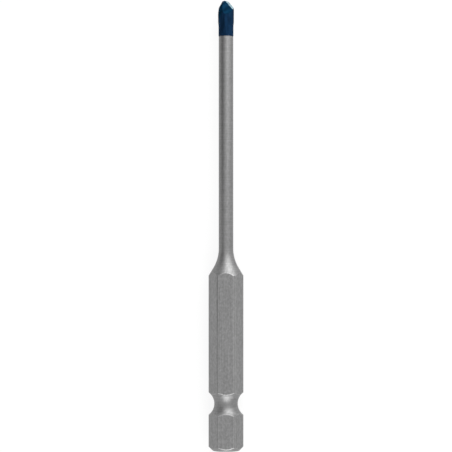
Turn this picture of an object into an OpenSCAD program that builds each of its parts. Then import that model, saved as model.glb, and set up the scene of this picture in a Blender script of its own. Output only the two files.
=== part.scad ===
// Glass and tile drill bit: a turned steel shank with a hex drive end, and a carbide head
// that is ground to an off-centre point and joined end to end with the shank.
// The bit lies along +Y on one flat of its hex. The origin is on its axis, at the shank end.

/* [Overall] */
// Length from the shank end to the chisel edge of the point
bit_length = 90; // [75:1:150]
// Length of the carbide head, from its joint to the chisel edge
head_length = 7.1; // [6:0.1:12]

/* [Hex drive end] */
// Width across the flats of the hex
hex_width = 6.25; // [6.2:0.05:6.35]
// Turned diameter over the corners of the hex
corner_d = 6.95; // [6.7:0.05:7.1]
// Length of the hex, from the shank end to the foot of the flare
hex_length = 35; // [25:1:45]
// Size of the 45 degree chamfer at the shank end
end_chamfer = 0.8; // [0.3:0.1:1.5]

/* [Detent groove] */
// Distance from the shank end to the middle of the groove
groove_place = 9.4; // [8:0.1:12]
// Diameter left at the bottom of the groove
groove_d = 4.7; // [4:0.05:5.5]
// Radius of the round section of the groove
groove_radius = 2.8; // [2:0.1:4]

/* [Flare and shaft] */
// Slope of the flare, measured from the axis
flare_angle = 31; // [20:1:45]
// Radius that blends the flare into the shaft
blend_radius = 7.5; // [3:0.5:9]
// Depth by which the blend runs under the flare and the shaft
blend_relief = 0.01; // [0.005:0.005:0.03]
// Diameter of the shaft
shaft_d = 2.9; // [2.4:0.02:3.6]

/* [Head] */
// Diameter of the straight part of the head
head_d = 2.98; // [2.4:0.02:3.6]
// Length of the straight part of the head, above the joint
straight_length = 2; // [1:0.1:2.4]
// Length of the cone between the straight part and the cutting part
cone_length = 0.8; // [0.2:0.1:1]
// Diameter of the cutting part at its lower end, above the cone
relief_d = 3.14; // [2.8:0.02:3.6]
// Diameter over the cutting corners
cutting_d = 3.18; // [2.8:0.02:3.6]
// Length below the chisel edge that keeps the cutting diameter
margin_length = 1.8; // [1:0.1:2.4]

/* [Point] */
// Distance from the axis to the middle of the point
point_offset = 0.2; // [0:0.05:0.4]
// Turn of the two flank facets about the axis, from the front and the back
flank_turn = 5; // [0:1:15]
// Slope of the flank facets, measured from the axis
flank_angle = 30; // [25:1:40]
// Turn of the two lip facets about the axis, from the front and the back
lip_turn = 30; // [20:1:45]
// Slope of the lip facets, measured from the axis
lip_angle = 40; // [35:1:50]
// Distance from the middle of the point to each lip facet
lip_reach = 0.05; // [0.02:0.01:0.2]
// Turn of the two rake facets about the axis, from the front and the back
rake_turn = 64; // [50:1:80]
// Slope of the steep rake facet, measured from the axis
steep_rake_angle = 15; // [12:1:25]
// Distance from the middle of the point to the steep rake facet
steep_rake_reach = 0.47; // [0.2:0.01:0.7]
// Slope of the blunt rake facet, measured from the axis
blunt_rake_angle = 25; // [20:1:40]
// Distance from the middle of the point to the blunt rake facet
blunt_rake_reach = 0.65; // [0.3:0.01:0.9]

/* [Hidden] */
$fn = 96;

// Extra length of every cutting shape past the surface that it cuts
cut_margin = 1;

corner_r = corner_d / 2;
shaft_r = shaft_d / 2;
head_r = head_d / 2;
cutting_r = cutting_d / 2;

// Places along the axis of the joint and of the two ends of the head's cone
joint_place = bit_length - head_length;
cone_start = joint_place + straight_length;
cone_end = cone_start + cone_length;

// Centre of the blend's circle, which reaches under the flare's line and the shaft's line
blend_reach = blend_radius - blend_relief;
blend_r = shaft_r + blend_reach;
blend_place = hex_length + (blend_reach - (blend_r - corner_r) * cos(flare_angle)) / sin(flare_angle);

// Points nearest to that centre on the flare's line and on the shaft's line
flare_foot = [blend_r - blend_reach * cos(flare_angle), blend_place - blend_reach * sin(flare_angle)];
shaft_foot = [shaft_r, blend_place];

// Side of the square face of a grinding cut, wider than the head from any direction
grind_size = 2 * head_length + cutting_d;

// Lays down a bit that stands on its shank end, so that its front faces up
module lay_down() {
    rotate([-90, 0, 0])
        children();
}

// Half section of the turned shank, with radius along X and length along Y
module shank_section() {
    difference() {
        polygon([
            [0, 0],
            [corner_r - end_chamfer, 0],
            [corner_r, end_chamfer],
            [corner_r, hex_length],
            flare_foot,
            shaft_foot,
            [shaft_r, joint_place],
            [0, joint_place]
        ]);
        translate([blend_r, blend_place])
            circle(r = blend_radius);
        translate([groove_d / 2 + groove_radius, groove_place])
            circle(r = groove_radius);
    }
}

// Hex bar that leaves the six flats on the turned shank, with one flat to the front
module hex_bar() {
    translate([0, 0, -cut_margin])
        cylinder(h = bit_length + 2 * cut_margin, d = hex_width / cos(30), $fn = 6);
}

// Half section of the head before grinding, with radius along X and length along Y
module head_section() {
    polygon([
        [0, joint_place],
        [head_r, joint_place],
        [head_r, cone_start],
        [relief_d / 2, cone_end],
        [cutting_r, bit_length - margin_length],
        [cutting_r, bit_length + cut_margin],
        [0, bit_length + cut_margin]
    ]);
}

// Material that the grinding of one facet takes off, for a facet that faces turn degrees from the front
module ground_off(turn, slope, reach) {
    translate([-point_offset, 0, bit_length])
        rotate([0, 0, turn])
            translate([0, -reach, 0])
                rotate([-slope, 0, 0])
                    translate([-grind_size / 2, -grind_size, -grind_size])
                        cube([grind_size, grind_size, 2 * grind_size]);
}

// Steel shank: hex drive end with its detent groove, flare and slim round shaft, all one piece
module shank() {
    color("#8b8c8e")
        lay_down()
            intersection() {
                rotate_extrude()
                    shank_section();
                hex_bar();
            }
}

// Carbide head: the flank facets meet in the chisel edge, and the lip and rake facets form the cutting lips
module carbide_head() {
    color("#14304b")
        lay_down()
            difference() {
                rotate_extrude()
                    head_section();
                ground_off(flank_turn, flank_angle, 0);
                ground_off(flank_turn + 180, flank_angle, 0);
                ground_off(lip_turn, lip_angle, lip_reach);
                ground_off(lip_turn + 180, lip_angle, lip_reach);
                ground_off(-rake_turn, steep_rake_angle, steep_rake_reach);
                ground_off(180 - rake_turn, blunt_rake_angle, blunt_rake_reach);
            }
}

shank();
carbide_head();
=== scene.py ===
import math

import bmesh
import bpy
from mathutils import Matrix, Vector


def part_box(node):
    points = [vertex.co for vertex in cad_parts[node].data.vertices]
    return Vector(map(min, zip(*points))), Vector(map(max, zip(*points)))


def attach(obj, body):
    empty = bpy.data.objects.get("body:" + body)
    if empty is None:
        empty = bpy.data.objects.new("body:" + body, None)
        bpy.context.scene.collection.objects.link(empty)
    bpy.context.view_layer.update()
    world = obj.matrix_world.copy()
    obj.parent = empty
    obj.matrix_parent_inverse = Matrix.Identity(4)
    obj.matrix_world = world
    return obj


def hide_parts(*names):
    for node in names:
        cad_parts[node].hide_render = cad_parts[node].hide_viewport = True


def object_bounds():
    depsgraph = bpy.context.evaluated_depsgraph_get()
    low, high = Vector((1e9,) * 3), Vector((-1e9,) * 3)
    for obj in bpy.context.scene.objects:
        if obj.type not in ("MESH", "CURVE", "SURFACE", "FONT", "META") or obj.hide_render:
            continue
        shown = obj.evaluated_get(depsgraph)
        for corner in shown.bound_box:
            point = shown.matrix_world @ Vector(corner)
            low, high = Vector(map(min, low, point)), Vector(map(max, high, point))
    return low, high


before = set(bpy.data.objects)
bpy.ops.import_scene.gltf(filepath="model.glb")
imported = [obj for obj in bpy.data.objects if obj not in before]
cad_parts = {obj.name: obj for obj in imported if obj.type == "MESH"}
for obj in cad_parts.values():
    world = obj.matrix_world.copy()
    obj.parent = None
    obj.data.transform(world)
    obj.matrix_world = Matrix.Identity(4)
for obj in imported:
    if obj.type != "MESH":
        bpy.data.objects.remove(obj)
cad_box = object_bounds()

# Steel shank: one piece of hex bar, turned down to a slim round shaft behind a flare. Its drive end keeps
# the six flats, with a chamfered end and a round detent groove turned into them. The rounds show fine rings
# from the lathe, and the flats show the lines of the drawn bar. The rims of the flats are a lighter grey,
# partly worn steel and partly a painted highlight along their edges.

MM = 0.001
shank_low, shank_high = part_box("shank")
joint_place = shank_high.y
hex_width = shank_high.z - shank_low.z
flat_count = 6
corner_r = 3.475 * MM
hex_length = 35.0 * MM
end_chamfer = 0.8 * MM
groove_place = 9.4 * MM
groove_bottom_r = 2.35 * MM
groove_radius = 2.8 * MM
flare_angle = math.radians(31)
blend_radius = 7.5 * MM
shaft_r = 1.45 * MM
ring_break = 0.07 * MM
flat_rim = 0.12 * MM
flat_rim_depth = 0.055 * MM

# How finely the round forms are divided, and the angles past which a ring or an edge counts as sharp
shank_sides = 144
groove_steps = 32
blend_steps = 20
ring_break_steps = 3
sharp_ring = math.radians(20)
crease = math.radians(12)

# Greys of the finishes, and the number of each finish among the materials of its piece
turned_grey = (0.234, 0.234, 0.2345)
drawn_grey = (0.237, 0.237, 0.2375)
# The rims' lighter grey is partly wear and partly a painted highlight along the edges of the flats
worn_and_highlight_grey = (0.31, 0.31, 0.31)
round_finish = 0
flat_finish = 1
worn_and_highlight_finish = 2


def arc(centre, radius, start, end, steps):
    """Points of a round stretch of an outline, as (radius, place) pairs, between two angles in degrees."""
    angles = [math.radians(start + (end - start) * i / steps) for i in range(steps + 1)]
    return [(centre[0] + radius * math.cos(a), centre[1] + radius * math.sin(a)) for a in angles]


def turned(outline, sides):
    """A solid turned about the bit's axis from an outline of (radius, place) pairs, with flat ends."""
    made = bmesh.new()
    corners = [made.verts.new((radius, place, 0)) for radius, place in outline]
    line = [made.edges.new(pair) for pair in zip(corners, corners[1:])]
    bmesh.ops.spin(made, geom=corners + line, cent=(0, 0, 0), axis=(0, 1, 0), angle=math.tau,
                   steps=sides, use_merge=True)
    bmesh.ops.holes_fill(made, edges=[e for e in made.edges if e.is_boundary], sides=0)
    bmesh.ops.recalc_face_normals(made, faces=made.faces)
    return made


# Distances at which points count as on a plane or as one point, and the turn at which a rim has a corner
plane_tolerance = 1e-8
weld_distance = 0.004 * MM
corner_turn = math.radians(30)
sorting_digits = 8


def cut_points(solid):
    """The points around an open cut, always in the same order, so that each run welds the same ones."""
    return sorted((v for v in solid.verts if v.is_boundary), key=lambda v: v.co.to_tuple(sorting_digits))


def cut_edges(solid):
    """The edges around an open cut, always in the same order, so that each run fills it in the same way."""
    return sorted((e for e in solid.edges if e.is_boundary),
                  key=lambda e: sorted(v.co.to_tuple(sorting_digits) for v in e.verts))


def cut_flat(solid, point, outward, rim_width, rim_depth, finish, rim_finish):
    """Takes off what lies outside a plane and closes the cut with flat faces, whose sharp rims are broken.
    The cut goes too deep by the depth of the rims, and an inset raises the flat faces back to the plane."""
    everything = solid.verts[:] + solid.edges[:] + solid.faces[:]
    bmesh.ops.bisect_plane(solid, geom=everything, dist=plane_tolerance,
                           plane_co=point - outward * rim_depth, plane_no=outward, clear_outer=True)
    bmesh.ops.remove_doubles(solid, verts=cut_points(solid), dist=weld_distance)
    rim = {}
    for vert in cut_points(solid):
        rim[vert] = [e.other_vert(vert).co - vert.co for e in vert.link_edges if e.is_boundary]
    corners = [vert for vert, (back, on) in rim.items() if on.angle(-back) > corner_turn]
    near = bmesh.ops.find_doubles(solid, verts=list(rim), keep_verts=corners, dist=rim_width)["targetmap"]
    bmesh.ops.weld_verts(solid, targetmap=near)
    flats = bmesh.ops.edgeloop_fill(solid, edges=cut_edges(solid))["faces"]
    bmesh.ops.recalc_face_normals(solid, faces=solid.faces)
    rims = bmesh.ops.inset_individual(solid, faces=flats, thickness=rim_width, depth=rim_depth,
                                      use_even_offset=True)["faces"]
    for face in flats:
        face.material_index = finish
    for face in rims:
        face.material_index = rim_finish


def placed(name, solid):
    """An object with the mesh of a finished solid, linked into the scene at the origin."""
    mesh = bpy.data.meshes.new(name)
    solid.to_mesh(mesh)
    solid.free()
    made = bpy.data.objects.new(name, mesh)
    bpy.context.scene.collection.objects.link(made)
    return made


def finished_piece(name, solid):
    """An object from a finished solid, with its round faces shaded smooth up to the crease angle."""
    for face in solid.faces:
        face.smooth = face.material_index == round_finish
    for edge in solid.edges:
        edge.smooth = edge.calc_face_angle(0) < crease
    return placed(name, solid)


# The groove's circle runs out at the corners, and the blend's circle touches the flare and the shaft
groove_r = groove_bottom_r + groove_radius
groove_half_angle = math.degrees(math.acos((groove_r - corner_r) / groove_radius))
blend_r = shaft_r + blend_radius
blend_rise = (blend_r - corner_r) * math.cos(flare_angle)
blend_place = hex_length + (blend_radius - blend_rise) / math.sin(flare_angle)

shank_outline = [(corner_r - end_chamfer, 0), (corner_r, end_chamfer)]
shank_outline += arc((groove_r, groove_place), groove_radius, 180 + groove_half_angle,
                     180 - groove_half_angle, groove_steps)
shank_outline += [(corner_r, hex_length)]
shank_outline += arc((blend_r, blend_place), blend_radius, 180 + math.degrees(flare_angle),
                     180, blend_steps)
shank_outline += [(shaft_r, joint_place)]

shank_solid = turned(shank_outline, shank_sides)
sharp_rings = [e for e in shank_solid.edges if e.calc_face_angle(0) > sharp_ring
               and max(math.hypot(v.co.x, v.co.z) for v in e.verts) < hex_width / 2]
bmesh.ops.bevel(shank_solid, geom=sharp_rings, offset=ring_break, offset_type="OFFSET", affect="EDGES",
                segments=ring_break_steps, profile=0.5, material=-1, clamp_overlap=True)
for side in range(flat_count):
    around = math.radians(360 / flat_count * side)
    outward = Vector((math.sin(around), 0, math.cos(around)))
    on_flat = outward * hex_width / 2
    cut_flat(shank_solid, on_flat, outward, flat_rim, flat_rim_depth, flat_finish, worn_and_highlight_finish)
shank = finished_piece("steel_shank", shank_solid)


def add(tree, kind, **settings):
    """A node in a tree, with its properties and the values of its sockets set by name."""
    made = tree.nodes.new(kind)
    for name, value in settings.items():
        if hasattr(made, name):
            setattr(made, name, value)
        else:
            made.inputs[name.replace("_", " ")].default_value = value
    return made


def tool_marks_group():
    """Marks that a tool leaves on metal: noise on the piece's own coordinates, finer across the cut.
    Lay is the number of marks in a metre along each axis, after a turn about Z."""
    tree = bpy.data.node_groups.new("tool_marks", "ShaderNodeTree")
    tree.interface.new_socket("Turn", in_out="INPUT", socket_type="NodeSocketFloat")
    tree.interface.new_socket("Lay", in_out="INPUT", socket_type="NodeSocketVector")
    tree.interface.new_socket("Low", in_out="INPUT", socket_type="NodeSocketFloat")
    tree.interface.new_socket("High", in_out="INPUT", socket_type="NodeSocketFloat")
    tree.interface.new_socket("Marks", in_out="OUTPUT", socket_type="NodeSocketFloat")
    given = add(tree, "NodeGroupInput")
    place = add(tree, "ShaderNodeTexCoord")
    turned_place = add(tree, "ShaderNodeVectorRotate", rotation_type="Z_AXIS")
    laid = add(tree, "ShaderNodeVectorMath", operation="MULTIPLY")
    noise = add(tree, "ShaderNodeTexNoise", Scale=1.0, Detail=3.0, Roughness=0.55)
    ranged = add(tree, "ShaderNodeMapRange", From_Min=0.3, From_Max=0.7)
    result = add(tree, "NodeGroupOutput")
    tree.links.new(place.outputs["Object"], turned_place.inputs["Vector"])
    tree.links.new(given.outputs["Turn"], turned_place.inputs["Angle"])
    tree.links.new(turned_place.outputs["Vector"], laid.inputs[0])
    tree.links.new(given.outputs["Lay"], laid.inputs[1])
    tree.links.new(laid.outputs["Vector"], noise.inputs["Vector"])
    tree.links.new(noise.outputs["Fac"], ranged.inputs["Value"])
    tree.links.new(given.outputs["Low"], ranged.inputs["To Min"])
    tree.links.new(given.outputs["High"], ranged.inputs["To Max"])
    tree.links.new(ranged.outputs["Result"], result.inputs["Marks"])
    return tree


tool_marks = tool_marks_group()


def marks(tree, lay, low, high, turn=0.0):
    """The tool marks group in a material, with its own lay, range and turn."""
    made = add(tree, "ShaderNodeGroup", node_tree=tool_marks, Turn=turn, Lay=lay, Low=low, High=high)
    return made.outputs["Marks"]


def metal(name, metallic):
    """A new material, its node tree and its shader."""
    material = bpy.data.materials.new(name)
    material.use_nodes = True
    shader = material.node_tree.nodes["Principled BSDF"]
    shader.inputs["Metallic"].default_value = metallic
    return material, material.node_tree, shader


def colour_metal(tree, shader, colour, shade, mottle):
    """Gives a shader one colour, made lighter and darker by two sets of marks."""
    tone = add(tree, "ShaderNodeMath", operation="MULTIPLY")
    tree.links.new(shade, tone.inputs[0])
    tree.links.new(mottle, tone.inputs[1])
    toned = add(tree, "ShaderNodeVectorMath", operation="SCALE")
    toned.inputs[0].default_value = colour
    tree.links.new(tone.outputs["Value"], toned.inputs["Scale"])
    tree.links.new(toned.outputs["Vector"], shader.inputs["Base Color"])


def raise_marks(tree, shader, height, strength, depth):
    """Raises the surface of a shader by a height, as a bump of a given strength and depth."""
    bump = add(tree, "ShaderNodeBump", Strength=strength, Distance=depth)
    tree.links.new(height, bump.inputs["Height"])
    tree.links.new(bump.outputs["Normal"], shader.inputs["Normal"])


lay_contrast = 0.11
mottle_lay = (2600, 1700, 2600)
sheen_lay = (3500, 3500, 3500)
sheen_spread = 0.05
grain_lay = (6000, 6000, 6000)
steel_bump = 0.25
steel_bump_depth = 0.004 * MM


def steel(name, grey, lay, mottle, roughness):
    """Satin steel with a fine lay of tool marks, a soft mottle in its tone and a matt grain."""
    material, tree, shader = metal(name, metallic=1.0)
    shade = marks(tree, lay, 1 - lay_contrast, 1 + lay_contrast)
    colour_metal(tree, shader, grey, shade, marks(tree, mottle_lay, 1 - mottle, 1 + mottle))
    sheen = marks(tree, sheen_lay, roughness - sheen_spread, roughness + sheen_spread)
    tree.links.new(sheen, shader.inputs["Roughness"])
    height = add(tree, "ShaderNodeMath", operation="ADD")
    tree.links.new(marks(tree, lay, 0.0, 1.0), height.inputs[0])
    tree.links.new(marks(tree, grain_lay, 0.0, 1.0), height.inputs[1])
    raise_marks(tree, shader, height.outputs["Value"], steel_bump, steel_bump_depth)
    return material


turned_steel = steel("turned_steel", turned_grey, lay=(150, 7000, 150), mottle=0.11, roughness=0.48)
drawn_steel = steel("drawn_steel", drawn_grey, lay=(6000, 90, 6000), mottle=0.18, roughness=0.42)
# Rims: a lighter grey that is partly wear and partly a painted highlight along the flats' edges
worn_rim_and_highlight = steel("worn_rim_and_highlight", worn_and_highlight_grey, lay=(900, 900, 900), mottle=0.10, roughness=0.50)
for material in (turned_steel, drawn_steel, worn_rim_and_highlight):
    shank.data.materials.append(material)
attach(shank, "root")
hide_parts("shank")

# Carbide head: a sintered full-round head, joined end to end with the shaft. It is diamond ground to an
# off-centre point: two flank facets meet in the chisel edge, with two bare lip facets and two rake facets
# beside them. A thin hard coating makes the rest dark blue, with a greener sheen on the ground facets.

head_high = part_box("carbide_head")[1]
bit_length = head_high.y
head_r = 1.49 * MM
straight_length = 2.0 * MM
cone_start = joint_place + straight_length
cone_length = 0.8 * MM
relief_r = 1.57 * MM
cutting_r = 1.59 * MM
margin_length = 1.8 * MM
stock_length = 1.0 * MM
head_sides = 96

# Facets: turn from the front and slope from the axis, in degrees, and reach from the middle of the point
point_offset = 0.2 * MM
flank_turn = 5
flank_slope = 30
lip_turn = 30
lip_slope = 40
lip_reach = 0.05 * MM
rake_turn = 64
steep_rake_slope = 15
steep_rake_reach = 0.47 * MM
blunt_rake_slope = 25
blunt_rake_reach = 0.65 * MM
facet_rim = 0.05 * MM
facet_rim_depth = 0.015 * MM
facet_finish = 1
lip_finish = 2
facets = {
    "front_flank": (flank_turn, flank_slope, 0, facet_finish),
    "back_flank": (flank_turn + 180, flank_slope, 0, facet_finish),
    "front_lip": (lip_turn, lip_slope, lip_reach, lip_finish),
    "back_lip": (lip_turn + 180, lip_slope, lip_reach, lip_finish),
    "steep_rake": (-rake_turn, steep_rake_slope, steep_rake_reach, facet_finish),
    "blunt_rake": (180 - rake_turn, blunt_rake_slope, blunt_rake_reach, facet_finish),
}

head_outline = [
    (head_r, joint_place),
    (head_r, cone_start),
    (relief_r, cone_start + cone_length),
    (cutting_r, bit_length - margin_length),
    (cutting_r, bit_length + stock_length),
]
head_solid = turned(head_outline, head_sides)
for turn, slope, reach, finish in facets.values():
    facing = math.radians(turn)
    lean = math.radians(slope)
    outward = Vector((
        math.sin(facing) * math.cos(lean),
        math.sin(lean),
        math.cos(facing) * math.cos(lean),
    ))
    on_facet = Vector((reach * math.sin(facing) - point_offset, bit_length, reach * math.cos(facing)))
    cut_flat(head_solid, on_facet, outward, facet_rim, facet_rim_depth, finish, finish)
head = finished_piece("carbide_head_coated", head_solid)

coating_blue = (0.0042, 0.0186, 0.0475)
facet_teal = (0.0021, 0.0168, 0.0385)
lip_grey = (0.225, 0.315, 0.350)
coating_edge = (0.45, 0.50, 0.55, 1)
coating_specular = 0.05
cloud_lay = (1800, 900, 1800)
cloud_contrast = 0.15
grinding_dark = 0.60
grinding_light = 1.50
gloss_spread = 0.06
carbide_bump = 0.2
carbide_bump_depth = 0.003 * MM


def ground_carbide(name, colour, lay, turn, roughness, metallic):
    """Ground carbide, coated or bare, with clouds in its tone and faint grinding marks; a lay can set a
    brighter streak of them as a painted highlight.
    """
    material, tree, shader = metal(name, metallic)
    shader.inputs["Specular IOR Level"].default_value = coating_specular
    shader.inputs["Specular Tint"].default_value = coating_edge
    clouds = marks(tree, cloud_lay, 1 - cloud_contrast, 1 + cloud_contrast)
    colour_metal(tree, shader, colour, clouds, marks(tree, lay, grinding_dark, grinding_light, turn))
    gloss = marks(tree, lay, roughness - gloss_spread, roughness + gloss_spread, turn)
    tree.links.new(gloss, shader.inputs["Roughness"])
    raise_marks(tree, shader, marks(tree, lay, 0.0, 1.0, turn), carbide_bump, carbide_bump_depth)
    return material


coated_round = ground_carbide("coated_round", coating_blue, lay=(2200, 300, 2200), turn=0.0,
                              roughness=0.55, metallic=0.5)
# On the coated facets the grinding marks are real, and their lay and turn set one brighter diagonal streak
# as a painted highlight
coated_facet = ground_carbide("coated_facet", facet_teal, lay=(1500, 120, 120), turn=math.radians(60),
                              roughness=0.50, metallic=1.0)
bare_lip = ground_carbide("bare_lip", lip_grey, lay=(2600, 350, 350), turn=math.radians(45),
                          roughness=0.45, metallic=1.0)
for material in (coated_round, coated_facet, bare_lip):
    head.data.materials.append(material)
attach(head, "root")
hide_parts("carbide_head")

# Floor: a plain white sheet, lit through from below like a light table, so that it shows white.
# The bit lies on it with one flat of its hex down, and leaves a faint shadow there.

middle = Vector((0, bit_length / 2, 0))
floor_place = cad_box[0].z
floor_half = 1.5
floor_white = (0.88, 0.88, 0.88, 1)
floor_roughness = 0.9
floor_glow = 0.86
floor_solid = bmesh.new()
bmesh.ops.create_grid(floor_solid, x_segments=1, y_segments=1, size=floor_half)
bmesh.ops.translate(floor_solid, verts=floor_solid.verts, vec=(0, middle.y, floor_place))
floor = placed("floor", floor_solid)

white_sheet = bpy.data.materials.new("white_sheet")
white_sheet.use_nodes = True
sheet = white_sheet.node_tree
paper = sheet.nodes["Principled BSDF"]
paper.inputs["Base Color"].default_value = floor_white
paper.inputs["Roughness"].default_value = floor_roughness
paper.inputs["Specular IOR Level"].default_value = 0.0
glow = add(sheet, "ShaderNodeEmission", Color=(1, 1, 1, 1), Strength=1.0)
ray = add(sheet, "ShaderNodeLightPath")
seen = ray.outputs["Is Camera Ray"]
for kind in ("Is Glossy Ray", "Is Transmission Ray"):
    either = add(sheet, "ShaderNodeMath", operation="ADD")
    sheet.links.new(seen, either.inputs[0])
    sheet.links.new(ray.outputs[kind], either.inputs[1])
    seen = either.outputs["Value"]
share = add(sheet, "ShaderNodeMath", operation="MULTIPLY", use_clamp=True)
share.inputs[1].default_value = floor_glow
lit_sheet = add(sheet, "ShaderNodeMixShader")
sheet.links.new(seen, share.inputs[0])
sheet.links.new(share.outputs["Value"], lit_sheet.inputs["Fac"])
sheet.links.new(paper.outputs["BSDF"], lit_sheet.inputs[1])
sheet.links.new(glow.outputs["Emission"], lit_sheet.inputs[2])
sheet.links.new(lit_sheet.outputs["Shader"], sheet.nodes["Material Output"].inputs["Surface"])
floor.data.materials.append(white_sheet)

# Studio light: an even white surround, and soft boxes beyond the point, behind the shank, above the head
# and low on its right. They are rectangular lamps that face the middle of the bit.

surround_strength = 0.86
surround = bpy.data.worlds.new("surround")
surround.use_nodes = True
background = surround.node_tree.nodes["Background"]
background.inputs["Color"].default_value = (1, 1, 1, 1)
background.inputs["Strength"].default_value = surround_strength
bpy.context.scene.world = surround


def soft_box(name, place, width, depth, power):
    """A soft rectangular lamp at a place, turned to the middle of the bit."""
    lamp = bpy.data.lights.new(name, "AREA")
    lamp.shape = "RECTANGLE"
    lamp.size = width
    lamp.size_y = depth
    lamp.energy = power
    lit = bpy.data.objects.new(name, lamp)
    lit.location = place
    lit.rotation_euler = (middle - Vector(place)).to_track_quat("-Z", "Y").to_euler()
    bpy.context.scene.collection.objects.link(lit)


soft_box("soft_box_point", place=(0.12, 0.34, 0.15), width=0.30, depth=0.26, power=0.84)
soft_box("soft_box_shank", place=(0.03, -0.24, 0.15), width=0.24, depth=0.28, power=0.70)
soft_box("soft_box_head", place=(0.05, 0.135, 0.15), width=0.14, depth=0.06, power=0.07)
soft_box("soft_box_side", place=(0.11, 0.125, 0.055), width=0.06, depth=0.06, power=0.020)

# Black card: a matt card, held up on the left of the bit with one corner down, just above the floor.
# It shades that side of the round metal, and the camera doesn't show it.

card_place = (-0.075, 0.090, 0.068)
card_width = 0.105
card_length = 0.090
card_lean = math.radians(-45)
card_black = (0.04, 0.04, 0.04, 1)
card_solid = bmesh.new()
bmesh.ops.create_grid(card_solid, x_segments=1, y_segments=1, size=0.5)
bmesh.ops.scale(card_solid, verts=card_solid.verts, vec=(card_width, card_length, 1))
for angle, axis in ((math.radians(90), "Y"), (card_lean, "X")):
    bmesh.ops.rotate(card_solid, verts=card_solid.verts, matrix=Matrix.Rotation(angle, 3, axis))
bmesh.ops.translate(card_solid, verts=card_solid.verts, vec=card_place)
card = placed("dark_card", card_solid)
card.visible_camera = False
black_card = bpy.data.materials.new("black_card")
black_card.use_nodes = True
black_card.node_tree.nodes["Principled BSDF"].inputs["Base Color"].default_value = card_black
card.data.materials.append(black_card)

# Camera: straight above the lying bit, with its point to the top of the picture. The bit's length fills
# the picture, and the lens follows from the height and from the width that the picture shows.

camera_height = 0.400
camera_place = 44.92 * MM
view_width = 90.45 * MM
sensor_width = 36.0
camera_data = bpy.data.cameras.new("camera")
camera_data.sensor_width = sensor_width
camera_data.lens = sensor_width * camera_height / view_width
camera = bpy.data.objects.new("camera", camera_data)
camera.location = (0, camera_place, camera_height)
bpy.context.scene.collection.objects.link(camera)
bpy.context.scene.camera = camera
bpy.context.scene.view_settings.view_transform = "Standard"
